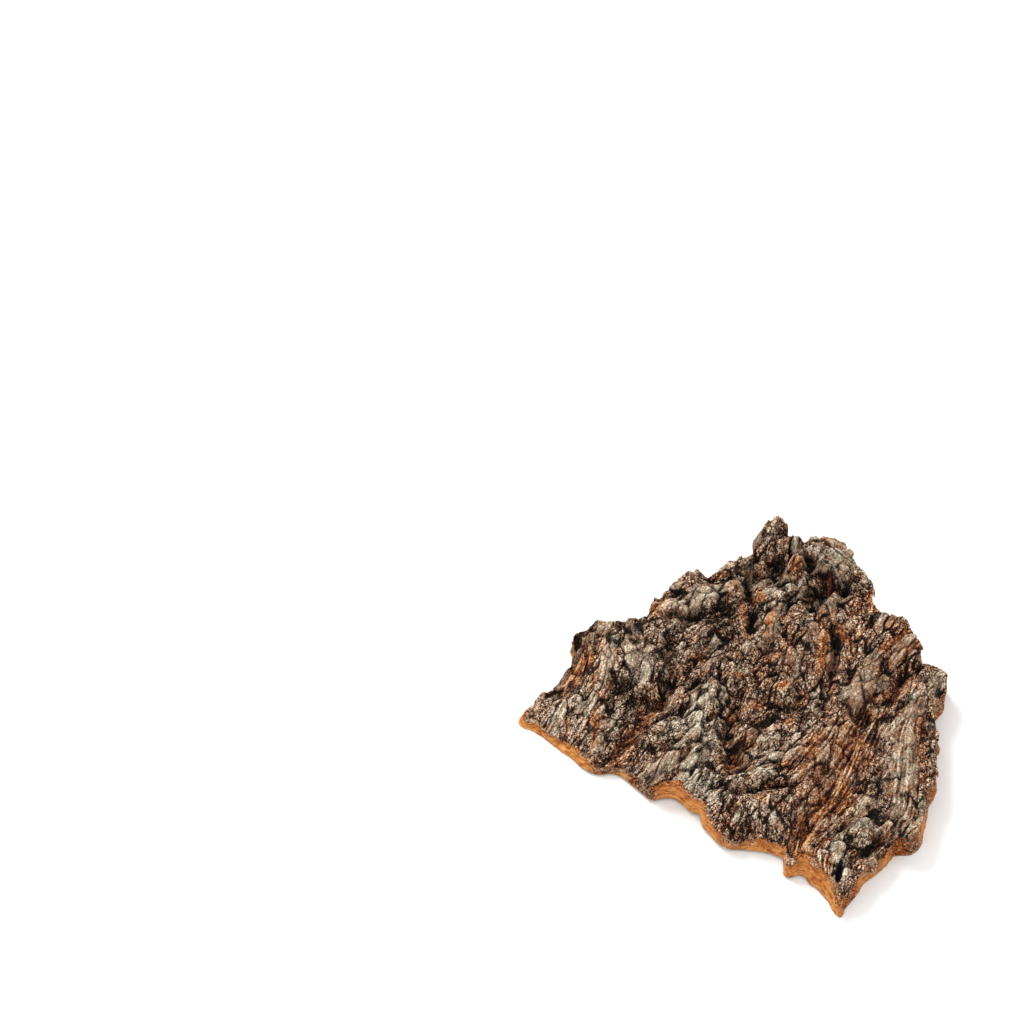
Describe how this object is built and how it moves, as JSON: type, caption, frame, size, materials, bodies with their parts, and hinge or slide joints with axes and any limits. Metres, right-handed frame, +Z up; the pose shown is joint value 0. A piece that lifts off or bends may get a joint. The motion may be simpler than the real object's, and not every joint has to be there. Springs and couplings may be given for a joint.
{
  "type": "cork bark slab",
  "caption": "Torn flat of virgin cork bark with deep furrows, raised grey plates and knobs, and ragged orange cork edges, arched to rest on its smooth inner face.",
  "frame": {"origin": "bottom centre of the slab's box, on the ground that it rests on", "axes": "+Z up through the bark face, +Y towards the edge with the tall knobs, +X towards the smooth grey band; the grain runs about 70 degrees from +X towards +Y"},
  "size_m": [0.2504, 0.2602, 0.0351],
  "materials": {
    "cork_bark": "raw weathered bark, dull, with bare orange cork at the torn edges"
  },
  "bodies": {
    "root": {"cork_bark_slab": "cork_bark"}
  },
  "joints": []
}
